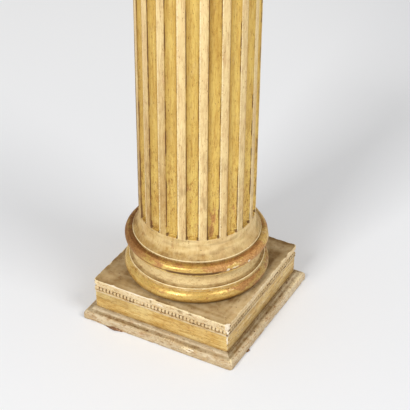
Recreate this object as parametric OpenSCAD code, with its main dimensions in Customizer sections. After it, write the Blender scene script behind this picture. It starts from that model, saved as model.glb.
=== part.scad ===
// Lower part of a fluted wooden column on its moulded base: a square foot slab,
// a plinth block with a bead moulding, a turned base moulding and a fluted shaft,
// cut off flat above. Origin at the centre of the foot's underside, +Z up.
// The plinth's front is at -Y.

/* [Foot slab] */
// Height of the rounded nosing that runs round the foot slab
nosing_h = 17; // [12:0.5:24]
// Radius of the nosing's upper edge
nosing_r = 8; // [4:0.5:11]
// Flat strip on top of the nosing, in front of the hollow
nosing_flat = 0.5; // [0.2:0.1:4]
// Small step between the nosing and the hollow above it
quirk_h = 0.5; // [0.3:0.1:1.5]
// Radius of the hollow that leads up to the plinth block
hollow_r = 7.5; // [4:0.5:14]
// Flat margin between the hollow's upper edge and the plinth block
seat_margin = 0.5; // [0:0.1:4]

/* [Splinters torn out of the foot's lower edge] */
// Distance of the front splinter's middle to the left of the centre
front_splinter_x = 91; // [40:1:110]
// Length of the front splinter along the edge
front_splinter_l = 42; // [10:1:60]
// How far the front splinter stands out of the edge
front_splinter_out = 5.5; // [1:0.5:8]
// Thickness of the front splinter
front_splinter_h = 4.5; // [1:0.5:8]
// Distance of the right side's small splinter in front of the centre
side_splinter_y = 94; // [40:1:110]
// Length of the small splinter along the edge
side_splinter_l = 12; // [6:1:40]
// How far the small splinter stands out of the edge
side_splinter_out = 3.5; // [1:0.5:8]
// Thickness of the small splinter
side_splinter_h = 3; // [1:0.5:8]

/* [Plinth block] */
// How far the plinth block stands out beyond the lower torus
block_margin = 6.3; // [1:0.1:20]
// Height of the plinth block
block_h = 62; // [45:1:90]
// Height of the plain band round the block's top
band_h = 9.5; // [5:0.5:14]
// Height of the sloping fillet between the band and the beads
neck_h = 5.8; // [2:0.2:9]
// Diameter of the bead rod under the band
bead_d = 8; // [6:0.5:12]
// Height of the thin fillet under the beads
fillet_h = 4; // [2:0.5:7]
// How far the block's side panels lie behind the band
panel_in = 1.5; // [0.5:0.1:4]
// How far the groove that holds the beads lies behind the band
groove_in = 2.6; // [1:0.1:4]

/* [Turned base moulding] */
// How far the lower torus stands out beyond the upper one
low_torus_out = 1.2; // [0:0.1:12]
// Height of the lower torus
low_torus_h = 27; // [20:0.5:36]
// How far the fillet on the lower torus lies behind it
low_fillet_in = 8.3; // [4:0.1:11]
// Height of that fillet above the lower torus
low_fillet_h = 6.4; // [3:0.2:10]
// Height of the scotia between the two fillets
scotia_h = 26.6; // [20:0.2:36]
// Depth of the scotia, measured from its mouth
scotia_depth = 8.4; // [4:0.2:10]
// How far the scotia's mouth lies behind the mean edge of the two fillets
scotia_lip = 1.4; // [0.6:0.1:3]
// How far the fillet under the upper torus lies behind it
up_fillet_in = 8.1; // [4:0.1:11]
// Height of that fillet
up_fillet_h = 6; // [3:0.2:10]
// How far the upper torus stands out beyond the ring at the foot of the shaft
up_torus_out = 14.9; // [11:0.1:24]
// Height of the upper torus
up_torus_h = 17; // [12:0.5:21]

/* [Fluted shaft] */
// Height of the whole piece, from the floor to the flat cut through the shaft
total_h = 700; // [400:5:1000]
// Diameter of the shaft over its fillets
shaft_d = 217.8; // [170:0.2:270]
// How far the ring at the foot of the shaft stands out beyond it
ring_out = 11.7; // [4:0.1:16]
// Height of that ring
ring_h = 5.2; // [3:0.2:9]
// Height of the hollow flare from the ring up to the shaft
flare_h = 24; // [17:0.5:36]
// Height of the plain neck between the flare and the flutes
plain_h = 14.8; // [6:0.2:40]
// Number of flutes round the shaft
flute_count = 18; // [12:1:22]
// Width of a flute at the surface
flute_w = 23.6; // [14:0.2:28.4]
// Depth of a flute
flute_depth = 6.5; // [3:0.1:10]
// Radius with which each flute curves up to the surface at its lower end
stop_r = 8.5; // [4:0.5:20]
// Turn of the first flute's middle from the +X axis, in degrees
flute_turn = 14.2; // [0:0.1:30]

/* [Hidden] */
$fn = 96;
gilt = [0.80, 0.63, 0.32];
cream = [0.86, 0.76, 0.57];
dull_cream = [0.70, 0.60, 0.42];

// Small overlap that joins two shapes of one solid
bite = 1;

// Radii of the turned edges and half widths of the square ones, each standing out
// from the one before by its own named amount
shaft_r = shaft_d / 2;
ring_r = shaft_r + ring_out;
up_torus_edge = ring_r + up_torus_out;
up_fillet_edge = up_torus_edge - up_fillet_in;
low_torus_edge = up_torus_edge + low_torus_out;
low_fillet_edge = low_torus_edge - low_fillet_in;
block_half = low_torus_edge + block_margin;
hollow_x = block_half + seat_margin + hollow_r;
foot_half = hollow_x + nosing_flat + nosing_r;

// Heights at which the pieces meet
foot_h = nosing_h + quirk_h + hollow_r;
block_z = foot_h;
base_z = block_z + block_h;
low_fillet_z = base_z + low_torus_h;
scotia_z = low_fillet_z + low_fillet_h;
up_fillet_z = scotia_z + scotia_h;
up_torus_z = up_fillet_z + up_fillet_h;
shaft_z = up_torus_z + up_torus_h;
flare_z = shaft_z + ring_h;
plain_z = flare_z + flare_h;
flute_z = plain_z + plain_h;

// Bead rod of the plinth block
bead_r = bead_d / 2;
bead_z = block_h - band_h - neck_h - bead_r;
bead_x = block_half - bead_r;

// Radii of the circles that the turned profiles are made of
low_torus_r = low_torus_h / 2;
up_torus_r = up_torus_h / 2;
scotia_mouth_r = (up_fillet_edge + low_fillet_edge) / 2 - scotia_lip;
scotia_r = (pow(scotia_h / 2, 2) + pow(scotia_depth, 2)) / (2 * scotia_depth);
flare_r = (pow(flare_h, 2) + pow(ring_out, 2)) / (2 * ring_out);
flute_r = (pow(flute_w / 2, 2) + pow(flute_depth, 2)) / (2 * flute_depth);

// A square block whose four sides all have the same profile, mitred at the corners.
// The child is the profile of the whole width w, drawn in X and Z.
module mitred(w) {
    intersection() {
        rotate([90, 0, 0]) linear_extrude(w + 2 * bite, center = true) children();
        rotate([90, 0, 90]) linear_extrude(w + 2 * bite, center = true) children();
    }
}

// A plain step of a profile, symmetrical about the middle
module step(half_w, z0, z1) {
    translate([-half_w, z0]) square([2 * half_w, z1 - z0]);
}

module foot_profile() {
    step(foot_half, 0, nosing_h - nosing_r);
    step(foot_half - nosing_r, 0, nosing_h);
    for (side = [-1, 1])
        translate([side * (foot_half - nosing_r), nosing_h - nosing_r]) circle(nosing_r);
    difference() {
        step(hollow_x, nosing_h - bite, foot_h);
        for (side = [-1, 1])
            translate([side * hollow_x, foot_h]) circle(hollow_r);
    }
}

// Sliver of wood torn out of the lower front edge, thin at its left end
module torn_splinter(middle, length, out, height) {
    translate([middle - length / 2, -foot_half, 0])
        linear_extrude(height)
            polygon([
                [0, bite],
                [length * 0.4, -out * 0.45],
                [length * 0.65, -out],
                [length * 0.95, -out * 0.8],
                [length, bite]
            ]);
}

module foot_slab() {
    color(cream) {
        mitred(2 * foot_half) foot_profile();
        torn_splinter(-front_splinter_x, front_splinter_l, front_splinter_out, front_splinter_h);
        rotate([0, 0, 90])
            torn_splinter(-side_splinter_y, side_splinter_l, side_splinter_out, side_splinter_h);
    }
}

module block_profile() {
    fillet_top = bead_z - bead_r;
    step(block_half - panel_in, 0, block_h);
    step(block_half, block_h - band_h, block_h);
    step(block_half - panel_in / 4, fillet_top - fillet_h, fillet_top);
    for (side = [-1, 1])
        translate([side * bead_x, bead_z]) circle(bead_r);
}

// Flat bottom of the groove that the beads lie in, cut back behind the panels
module bead_groove() {
    difference() {
        step(2 * block_half, bead_z - bead_r, bead_z + bead_r);
        step(block_half - groove_in, 0, block_h);
        for (side = [-1, 1])
            translate([side * bead_x, bead_z]) circle(bead_r);
    }
}

module plinth_block() {
    color(gilt)
        translate([0, 0, block_z])
            mitred(2 * block_half)
                difference() {
                    block_profile();
                    bead_groove();
                }
}

// Solid ring or disc turned about the column's axis
module disc(radius, z0, z1) {
    translate([0, 0, z0]) cylinder(r = radius, h = z1 - z0);
}

// Round bulge whose widest point is at the given radius, standing on z0
module torus(outer_r, z0, section_r) {
    translate([0, 0, z0 + section_r])
        rotate_extrude() translate([outer_r - section_r, 0]) circle(section_r);
    disc(outer_r - section_r, z0, z0 + 2 * section_r);
}

module base_moulding() {
    color(gilt)
        difference() {
            union() {
                torus(low_torus_edge, base_z, low_torus_r);
                disc(low_fillet_edge, base_z + low_torus_r, scotia_z);
                disc(scotia_mouth_r, scotia_z - bite, up_fillet_z + bite);
                disc(up_fillet_edge, up_fillet_z, up_torus_z + up_torus_r);
                torus(up_torus_edge, up_torus_z, up_torus_r);
            }
            translate([0, 0, scotia_z + scotia_h / 2])
                rotate_extrude()
                    translate([scotia_mouth_r - scotia_depth + scotia_r, 0]) circle(scotia_r);
        }
}

// Hollow flare that leads from the ring up to the shaft
module flare() {
    translate([0, 0, flare_z])
        rotate_extrude()
            difference() {
                square([ring_r, flare_h]);
                translate([shaft_r + flare_r, flare_h]) circle(flare_r);
            }
}

// One flute: a round-bottomed channel that runs out through the top of the shaft
module flute() {
    translate([shaft_r - flute_depth + flute_r, 0, plain_z])
        cylinder(r = flute_r, h = total_h - plain_z + bite);
}

// Everything below the flutes' lower ends, with a hollow rim that lets each flute
// curve up to the surface
module flute_stop() {
    rotate_extrude() {
        translate([0, plain_z - bite]) square([shaft_r + 2 * flute_r, plain_h + bite]);
        difference() {
            translate([0, flute_z]) square([shaft_r, stop_r]);
            translate([shaft_r, flute_z + stop_r]) circle(stop_r);
        }
    }
}

module flutes() {
    difference() {
        for (i = [0:flute_count - 1])
            rotate([0, 0, flute_turn + i * 360 / flute_count]) flute();
        flute_stop();
    }
}

module fluted_shaft() {
    color(dull_cream) {
        difference() {
            disc(shaft_r, shaft_z, total_h);
            flutes();
        }
        flare();
        disc(ring_r, shaft_z, flare_z);
    }
}

foot_slab();
plinth_block();
base_moulding();
fluted_shaft();
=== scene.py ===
import math

import bpy
import numpy as np
from mathutils import Matrix, Vector


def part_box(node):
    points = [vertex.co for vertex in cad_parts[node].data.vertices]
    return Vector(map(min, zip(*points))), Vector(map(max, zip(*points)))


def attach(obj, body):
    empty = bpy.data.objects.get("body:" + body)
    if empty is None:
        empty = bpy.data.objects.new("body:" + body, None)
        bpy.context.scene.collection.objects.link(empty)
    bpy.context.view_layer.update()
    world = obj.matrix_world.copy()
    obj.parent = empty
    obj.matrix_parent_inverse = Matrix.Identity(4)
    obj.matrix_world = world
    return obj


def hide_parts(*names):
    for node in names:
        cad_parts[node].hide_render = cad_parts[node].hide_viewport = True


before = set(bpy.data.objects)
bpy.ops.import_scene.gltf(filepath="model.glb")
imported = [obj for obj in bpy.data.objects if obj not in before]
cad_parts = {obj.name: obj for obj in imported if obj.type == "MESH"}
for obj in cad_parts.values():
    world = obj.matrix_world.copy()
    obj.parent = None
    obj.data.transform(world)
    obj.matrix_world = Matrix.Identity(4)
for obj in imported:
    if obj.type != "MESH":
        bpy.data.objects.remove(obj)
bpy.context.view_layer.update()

# ---------------------------------------------------------------------------
# Foot slab: a square of softwood planed to a rounded nosing with a hollow above
# it, mitred at the corners, gessoed and painted cream. It is nailed under the
# plinth block. Its lower edge is torn in two places and its corners are rubbed.

MM = 0.001
foot_high = np.array(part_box("foot_slab")[1]) / MM
foot_half = foot_high[1]
foot_top = foot_high[2]
nosing_top = 17.0
nosing_round = 8.0
hollow_round = 7.5
foot_edge_steps = 230
show_bearing = -61.3


def noise(points, size, seed):
    """Smooth random field from -1 to 1 over points, with lumps of the given size."""
    scaled = points / np.asarray(size, float)
    cell = np.floor(scaled).astype(np.int64)
    part = scaled - cell
    part = part * part * (3.0 - 2.0 * part)
    total = np.zeros(points.shape[:-1])
    for corner in np.ndindex(2, 2, 2):
        at = cell + np.array(corner)
        key = at[..., 0] * 73856093 ^ at[..., 1] * 19349663 ^ at[..., 2] * 83492791
        key = (key ^ seed * 2654435761) & 0xFFFFFFF
        key = (key * (key * key * 15731 + 789221) + 1376312589) & 0x7FFFFFFF
        weight = np.prod(np.where(corner, part, 1.0 - part), axis=-1)
        total += weight * (key / 1073741824.0 - 1.0)
    return total


def ramp(low, high, value):
    """0 below low, 1 above high, and a smooth rise between them."""
    t = np.clip((value - low) / (high - low), 0.0, 1.0)
    return t * t * (3.0 - 2.0 * t)


def band(value, low, high, soft):
    """1 where value lies between low and high, falling off over soft outside."""
    return ramp(low - soft, low, value) * (1.0 - ramp(high, high + soft, value))


def cloudy(points, size, seed):
    """Smooth random field from 0 to 1."""
    return 0.5 + 0.5 * noise(points, size, seed)


def spot(points, centre, reach):
    """1 at the centre, falling to 0 at the given reach along X, Y and Z."""
    away = (points - np.asarray(centre, float)) / np.asarray(reach, float)
    return 1.0 - ramp(0.0, 1.0, np.sqrt((away * away).sum(axis=-1)))


def arc(centre, radius, start, end, steps):
    """Profile points (outward, height) along an arc, with angles in degrees."""
    turn = np.radians(np.linspace(start, end, steps))
    return [(centre[0] + radius * math.cos(t), centre[1] + radius * math.sin(t)) for t in turn]


def square_loops(profile, corner_round, steps, corner_steps=9):
    """Rings of points round a square moulding, one ring for each profile point.

    profile holds (half width, height); corner_round gives each ring's radius at
    its four corners, starting with the one at +X -Y. Returns the grid of points,
    the outward direction, the distance along the side and the number of the side.
    """
    outs, highs = np.array(profile).T
    columns, outward, along, side_no = [], [], [], []
    for side in range(4):
        facing = math.radians(90 * side - 90)
        normal = np.array([math.cos(facing), math.sin(facing)])
        run = np.array([-normal[1], normal[0]])
        near, far = corner_round[:, side - 1], corner_round[:, side]
        for step in range(steps):
            t = step / (steps - 1)
            place = -(outs - near) * (1 - t) + (outs - far) * t
            columns.append(outs[:, None] * normal + place[:, None] * run)
            outward.append(np.tile(normal, (len(outs), 1)))
            along.append(place)
            side_no.append(side)
        for step in range(1, corner_steps):
            turn = math.radians(90 * step / corner_steps)
            point = math.cos(turn) * normal + math.sin(turn) * run
            columns.append((outs - far)[:, None] * (normal + run) + far[:, None] * point)
            outward.append(np.tile(point, (len(outs), 1)))
            along.append(outs)
            side_no.append(side if turn < math.pi / 4 else (side + 1) % 4)
    flat = np.stack(columns, axis=1)
    height = np.broadcast_to(highs[:, None, None], flat.shape[:2] + (1,))
    grid = np.concatenate([flat, height], axis=2)
    out = np.concatenate([np.stack(outward, axis=1), np.zeros_like(height)], axis=2)
    return grid, out, np.stack(along, axis=1), np.array(side_no)


MARKS = ("gilt", "rub", "gesso", "pale", "varnish", "grime", "dark", "streak", "speckle")


def make_skin(name, grids, marks, sharp=38.0):
    """One mesh of closed shells. Each grid holds rings of points from one end to the
    other, closed with a fan at both ends, and marks holds its finish fields."""
    points, faces, fields = [], [], {mark: [] for mark in MARKS}
    start = 0
    for grid, mark in zip(grids, marks):
        rows, cols = grid.shape[:2]
        ends = np.stack([grid[0].mean(axis=0), grid[-1].mean(axis=0)])
        points += [grid.reshape(-1, 3), ends]
        for key in MARKS:
            value = np.broadcast_to(mark.get(key, 0.0), (rows, cols))
            fields[key] += [value.ravel(), [value[0].mean(), value[-1].mean()]]
        low = np.arange(rows - 1)[:, None] * cols + np.arange(cols)
        side = np.roll(low, -1, axis=1)
        faces += (start + np.stack([low, side, side + cols, low + cols], axis=-1)).reshape(-1, 4).tolist()
        ring = np.arange(cols)
        top = (rows - 1) * cols
        foot_fan = np.stack([np.roll(ring, -1), ring, np.full(cols, rows * cols)], axis=-1)
        head_fan = np.stack([top + ring, top + np.roll(ring, -1), np.full(cols, rows * cols + 1)], axis=-1)
        faces += (start + np.concatenate([foot_fan, head_fan])).tolist()
        start += rows * cols + 2
    mesh = bpy.data.meshes.new(name)
    mesh.from_pydata(np.concatenate(points) * MM, [], faces)
    mesh.shade_smooth()
    mesh.set_sharp_from_angle(angle=math.radians(sharp))
    for key in MARKS:
        layer = mesh.attributes.new(key, "FLOAT", "POINT")
        layer.data.foreach_set("value", np.clip(np.concatenate(fields[key]), 0.0, 1.0).astype(np.float32))
    piece = bpy.data.objects.new(name, mesh)
    bpy.context.scene.collection.objects.link(piece)
    return piece


def tone(red, green, blue):
    """Scene colour of a paint named by its 0 to 255 mixing values."""
    parts = [v / 255.0 for v in (red, green, blue)]
    return [p / 12.92 if p <= 0.04045 else ((p + 0.055) / 1.055) ** 2.4 for p in parts] + [1.0]


def add(tree, kind, sockets=(), **settings):
    """Adds a node, sets its settings, and fills its sockets with values or links."""
    made = tree.nodes.new(kind)
    for key, value in settings.items():
        setattr(made, key, value)
    for key, value in dict(sockets).items():
        if isinstance(value, bpy.types.NodeSocket):
            tree.links.new(value, made.inputs[key])
        else:
            made.inputs[key].default_value = value
    return made


def mix(tree, factor, first, second, blend="MIX"):
    """Blends two colours and returns the colour socket."""
    made = add(tree, "ShaderNodeMix", {0: factor, 6: first, 7: second}, data_type="RGBA", blend_type=blend)
    return made.outputs[2]


def math_node(tree, operation, first, second=0.0, clamp=False):
    """One sum on one or two values; returns the value socket."""
    made = add(tree, "ShaderNodeMath", {0: first, 1: second}, operation=operation, use_clamp=clamp)
    return made.outputs[0]


def vector_node(tree, operation, first, second=(0.0, 0.0, 0.0)):
    """One sum on one or two vectors; returns the value socket of a length or of a dot
    product, and the vector socket of any other sum."""
    made = add(tree, "ShaderNodeVectorMath", {0: first, 1: second}, operation=operation)
    return made.outputs["Value" if operation in ("LENGTH", "DOT_PRODUCT") else "Vector"]


def texture(tree, point, size, detail=3.0, rough=0.55):
    """Noise with lumps of the given size in mm."""
    sockets = {"Vector": point, "Scale": 1.0 / (size * MM), "Detail": detail, "Roughness": rough}
    return add(tree, "ShaderNodeTexNoise", sockets).outputs[0]


def step_up(tree, value, low, high):
    """0 below low and 1 above high, as a value socket."""
    made = add(tree, "ShaderNodeMapRange", {0: value, 1: low, 2: high}, interpolation_type="SMOOTHSTEP")
    return made.outputs[0]


def new_group(name, inputs, outputs):
    """A shader node group with named sockets; returns the tree and its two ends."""
    tree = bpy.data.node_groups.new(name, "ShaderNodeTree")
    for key, kind, value in inputs:
        socket = tree.interface.new_socket(key, in_out="INPUT", socket_type="NodeSocket" + kind)
        if value is not None:
            socket.default_value = value
    for key, kind in outputs:
        tree.interface.new_socket(key, in_out="OUTPUT", socket_type="NodeSocket" + kind)
    return tree, tree.nodes.new("NodeGroupInput"), tree.nodes.new("NodeGroupOutput")


# Breaks a smooth field into a patch with a ragged edge, as flaking paint has.
ragged, given, put = new_group(
    "ragged patch",
    [("Field", "Float", 0.0), ("Point", "Vector", None), ("Crumb", "Float", 3.0), ("Spread", "Float", 0.8)],
    [("Patch", "Float")],
)
crumb_scale = math_node(ragged, "DIVIDE", 1.0 / MM, given.outputs["Crumb"])
crumbs = add(
    ragged,
    "ShaderNodeTexNoise",
    {"Vector": given.outputs["Point"], "Scale": crumb_scale, "Detail": 4.0, "Roughness": 0.62},
).outputs[0]
crumbs = math_node(ragged, "MULTIPLY", math_node(ragged, "SUBTRACT", crumbs, 0.5), given.outputs["Spread"])
worn = math_node(ragged, "ADD", crumbs, given.outputs["Field"])
ragged.links.new(step_up(ragged, worn, 0.42, 0.58), put.inputs["Patch"])

# Old finish over carved wood: cream oil paint, or gold leaf on red bole, with white
# gesso where it has flaked, edges rubbed pale with painted highlights among them,
# yellowed varnish and grime over it that also carry painted shade, and dark glaze
# and painted shade in the corners.
finish, given, put = new_group(
    "old paint and gilding with painted light and shade",
    [(key, "Vector", None) for key in ("Point", "Drawn", "Grain")]
    + [(key, "Color", (1, 1, 1, 1)) for key in ("Cream", "Cream shade", "Gold", "Gold shade")]
    + [(key.capitalize() + " mark", "Float", 0.0) for key in MARKS],
    [("Color", "Color"), ("Metal", "Float"), ("Roughness", "Float"), ("Height", "Float")],
)
point = given.outputs["Point"]
drawn = given.outputs["Drawn"]
grain = given.outputs["Grain"]
streak = given.outputs["Streak mark"]
speckle = given.outputs["Speckle mark"]


def patch(field, crumb, spread):
    """The ragged patch group placed in the finish group."""
    made = add(finish, "ShaderNodeGroup", node_tree=ragged)
    made.inputs["Crumb"].default_value = crumb
    made.inputs["Spread"].default_value = spread
    finish.links.new(drawn, made.inputs["Point"])
    finish.links.new(field, made.inputs["Field"])
    return made.outputs["Patch"]


def part(value, share):
    """A mask weakened to a share of itself; the share may be a socket."""
    return math_node(finish, "MULTIPLY", value, share)


clouds = texture(finish, drawn, 26.0, 3.0)
mottle = texture(finish, drawn, 8.0, 4.0, 0.65)
fine = texture(finish, point, 3.2, 3.0, 0.65)
crumbly = texture(finish, drawn, 4.6, 3.0, 0.7)
streaks = texture(finish, grain, 4.0, 3.0, 0.6)
hairs = texture(finish, grain, 1.3, 2.0, 0.6)
specks = texture(finish, drawn, 2.2, 2.0, 0.5)
dust = texture(finish, point, 1.1, 1.0, 0.5)

cream = mix(finish, step_up(finish, clouds, 0.36, 0.66), given.outputs["Cream"], given.outputs["Cream shade"])
cream = mix(finish, part(step_up(finish, mottle, 0.52, 0.75), 0.55), cream, tone(222, 180, 136))
cream = mix(finish, part(step_up(finish, streaks, 0.45, 0.75), streak), cream, tone(198, 162, 108))

gold = mix(finish, step_up(finish, clouds, 0.36, 0.68), given.outputs["Gold"], given.outputs["Gold shade"])
gold = mix(finish, part(step_up(finish, streaks, 0.42, 0.7), streak), gold, tone(204, 158, 74))
gold = mix(finish, part(step_up(finish, mottle, 0.5, 0.75), 0.5), gold, tone(244, 214, 142))

gilt_patch = patch(given.outputs["Gilt mark"], 5.0, 0.75)
color = mix(finish, gilt_patch, cream, gold)
hair_mark = part(step_up(finish, hairs, 0.56, 0.7), streak)
color = mix(finish, hair_mark, color, tone(186, 142, 84), "MULTIPLY")
dirt = part(step_up(finish, crumbly, 0.5, 0.68), speckle)
color = mix(finish, dirt, color, tone(190, 154, 108), "MULTIPLY")
light = part(step_up(finish, fine, 0.5, 0.7), part(speckle, 0.9))
color = mix(finish, light, color, tone(255, 240, 208), "SOFT_LIGHT")
speck_mark = step_up(finish, math_node(finish, "ADD", specks, part(speckle, 0.06)), 0.67, 0.73)
color = mix(finish, part(speck_mark, 0.6), color, tone(152, 106, 62), "MULTIPLY")

rub_patch = patch(given.outputs["Rub mark"], 4.5, 1.0)
bole = mix(finish, step_up(finish, fine, 0.35, 0.65), tone(158, 92, 52), tone(204, 140, 88))
color = mix(finish, part(rub_patch, 0.66), color, bole)

# yellowed varnish and grime darken the colour; the pieces also feed painted shade through both
varnish_and_shade_share = math_node(finish, "ADD", part(step_up(finish, crumbly, 0.3, 0.7), 0.5), 0.75)
varnish_and_shade_share = math_node(finish, "MULTIPLY", varnish_and_shade_share, given.outputs["Varnish mark"], clamp=True)
color = mix(finish, varnish_and_shade_share, color, (0.66, 0.54, 0.32, 1.0), "MULTIPLY")
grime_and_shade_share = math_node(finish, "ADD", part(step_up(finish, mottle, 0.28, 0.72), 0.45), 0.78)
grime_and_shade_share = math_node(finish, "MULTIPLY", grime_and_shade_share, given.outputs["Grime mark"], clamp=True)
color = mix(finish, grime_and_shade_share, color, (0.34, 0.265, 0.15, 1.0), "MULTIPLY")

# pale: rubbed edges, and painted highlights where the pieces place them
fine_swing = part(math_node(finish, "SUBTRACT", fine, 0.5), 1.1)
pale_edge = math_node(finish, "ADD", fine_swing, given.outputs["Pale mark"])
pale_edge = step_up(finish, pale_edge, 0.3, 0.75)
color = mix(finish, part(pale_edge, 0.8), color, tone(252, 232, 184))
gesso_patch = patch(given.outputs["Gesso mark"], 2.8, 0.9)
color = mix(finish, gesso_patch, color, tone(243, 227, 200))
# dark: glaze and holes, and painted shade in corners, creases and under overhangs
dark_patch = patch(given.outputs["Dark mark"], 2.4, 0.7)
color = mix(finish, part(dark_patch, 0.85), color, tone(104, 68, 32))

bare = math_node(finish, "ADD", gesso_patch, dark_patch, clamp=True)
for cover, share in ((rub_patch, 0.7), (grime_and_shade_share, 0.8), (dirt, 0.7)):
    bare = math_node(finish, "MAXIMUM", bare, part(cover, share))
leaf = part(gilt_patch, math_node(finish, "SUBTRACT", 1.0, bare))
metal = part(leaf, 0.5)
rough = math_node(finish, "SUBTRACT", 0.64, part(leaf, 0.3))
rough = math_node(finish, "ADD", rough, part(math_node(finish, "SUBTRACT", mottle, 0.5), 0.5))

height = part(streaks, part(streak, 0.9))
lumps = ((mottle, 0.8), (crumbly, 0.7), (fine, 0.4), (dust, 0.2), (speck_mark, -0.3), (bare, -0.25))
for lump, share in lumps:
    height = math_node(finish, "ADD", height, part(lump, share))
for value, key in ((color, "Color"), (metal, "Metal"), (rough, "Roughness"), (height, "Height")):
    finish.links.new(value, put.inputs[key])


def finished(name, grain_stretch, bump, **colours):
    """A material of the old finish, with grain drawn out along the piece's own run."""
    material = bpy.data.materials.new(name)
    material.use_nodes = True
    tree = material.node_tree
    shader = tree.nodes["Principled BSDF"]
    place = add(tree, "ShaderNodeTexCoord").outputs["Object"]
    skin = add(tree, "ShaderNodeGroup", node_tree=finish)
    tree.links.new(place, skin.inputs["Point"])
    for key, power in (("Grain", 1.0), ("Drawn", 0.4)):
        scale = [s**-power for s in grain_stretch]
        tree.links.new(vector_node(tree, "MULTIPLY", place, scale), skin.inputs[key])
    for key, value in colours.items():
        skin.inputs[key.replace("_", " ").capitalize()].default_value = value
    for key in MARKS:
        mark = add(tree, "ShaderNodeAttribute", attribute_name=key).outputs["Fac"]
        tree.links.new(mark, skin.inputs[key.capitalize() + " mark"])
    sockets = {"Height": skin.outputs["Height"], "Strength": 1.0, "Distance": bump * MM}
    relief = add(tree, "ShaderNodeBump", sockets)
    tree.links.new(relief.outputs[0], shader.inputs["Normal"])
    for key, socket in (("Color", "Base Color"), ("Metal", "Metallic"), ("Roughness", "Roughness")):
        tree.links.new(skin.outputs[key], shader.inputs[socket])
    shader.inputs["Specular IOR Level"].default_value = 0.35
    return material


foot_profile = [(foot_half - 2.4, 0.0), (foot_half - 0.7, 0.15), (foot_half - 0.1, 0.9)]
foot_profile += [(foot_half, z) for z in np.linspace(1.8, nosing_top - nosing_round - 0.8, 7)]
foot_profile += arc((foot_half - nosing_round, nosing_top - nosing_round), nosing_round, 0, 90, 13)
hollow_out = foot_half - nosing_round - 0.5
foot_profile += [(hollow_out, nosing_top), (hollow_out - 0.1, foot_top - hollow_round)]
foot_profile += arc((hollow_out, foot_top), hollow_round, 262, 184, 11)
foot_profile += [(hollow_out - hollow_round - 0.1, foot_top), (hollow_out - hollow_round - 4, foot_top)]
foot_profile = [(foot_half - 12, 0.0)] + foot_profile

foot_corners = np.array([4.2, 3.2, 3.6, 5.0])
heights = np.array([p[1] for p in foot_profile])
nosing_share = 1.0 - ramp(nosing_top, nosing_top + 1.0, heights)
foot_rounds = 0.8 + nosing_share[:, None] * foot_corners
foot_grid, foot_out, foot_along, foot_side = square_loops(foot_profile, foot_rounds, foot_edge_steps)
x, y, z = np.moveaxis(foot_grid.copy(), -1, 0)
# planed and rubbed surfaces waver a little, and the lower edge has lost crumbs
waver = 0.35 * noise(foot_grid, (45, 45, 30), 1) + 0.18 * noise(foot_grid, (9, 9, 7), 2)
low_edge = 1.0 - ramp(0.5, 5.0, z)
crumbled = low_edge * ramp(0.25, 0.75, noise(foot_grid, (11, 11, 9), 3)) * 1.4
dents = ramp(0.5, 0.85, noise(foot_grid, (7, 7, 5), 4)) * 0.7
on_face = ramp(foot_half - 12.5, foot_half - 9.0, np.abs(foot_grid[..., :2]).max(axis=-1))
foot_grid += foot_out * ((waver - crumbled - dents) * on_face)[..., None]
foot_grid[..., :2] = np.clip(foot_grid[..., :2], -foot_half, foot_half)
foot_grid[..., 2] = np.where(z > 0.01, foot_grid[..., 2], 0.0)

on_hollow = band(z, nosing_top + 0.3, foot_top, 0.5)
quirk_shade = band(z, nosing_top - 0.2, nosing_top + 1.2, 0.8)
streaky = cloudy(foot_grid, (38, 38, 3.5), 5)
blotch = cloudy(foot_grid, (16, 16, 9), 6)
foot_front = -foot_half
foot_right = np.broadcast_to(foot_side == 1, z.shape)
upward = band(z, nosing_top - 4.5, nosing_top, 2.5)
# grime in the hollow and along the lower edge, with painted shade: the hollow's top under the block and the
# quirk are darkened, and the hollow more on the right-hand side
foot_grime_and_shade = on_hollow * (0.12 + 0.2 * blotch) + 0.3 * low_edge * (0.4 + blotch)
foot_grime_and_shade += foot_right * on_hollow * (0.49 - 0.41 * ramp(10, 120, foot_along))
under_block_shade = on_hollow * ramp(foot_top - 6.0, foot_top - 1.5, z)
foot_grime_and_shade += under_block_shade * np.where(foot_right, 0.9, 0.36) * (0.7 + 0.6 * streaky)
near_right = foot_right * ramp(0, 60, foot_along)
far_front = ramp(40, 100, x) * (y < 0)
nosing_dirt = 0.02 + 0.26 * streaky + 0.1 * upward * (1 - 1.6 * far_front)
foot_grime_and_shade += nosing_dirt * (1 - on_hollow) * (1 - 0.8 * near_right)
foot_grime_and_shade += (0.3 + 0.4 * streaky) * quirk_shade * np.where(foot_right, 0.45, 0.9)
# dark: spots and a stain, and painted shade in the quirk and, on the right, under the block
foot_dark = 0.34 * quirk_shade * ramp(0.66, 0.95, blotch) + 0.3 * under_block_shade * foot_right
foot_dark += 0.5 * ramp(0.5, 0.9, noise(foot_grid, (8, 8, 2.0), 9)) * (0.6 + 0.6 * upward)
foot_dark += 0.5 * ramp(0.45, 0.85, noise(foot_grid, (5, 5, 3.0), 11)) * on_hollow
foot_dark += 0.7 * spot(foot_grid, (-22, foot_front + 8, 17.5), (7, 6, 3))
scuff = spot(foot_grid, (71, foot_front + 1, 12), (24, 10, 9))
scuff *= 0.6 + 0.9 * noise(foot_grid, (10, 10, 1.8), 10)
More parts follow.
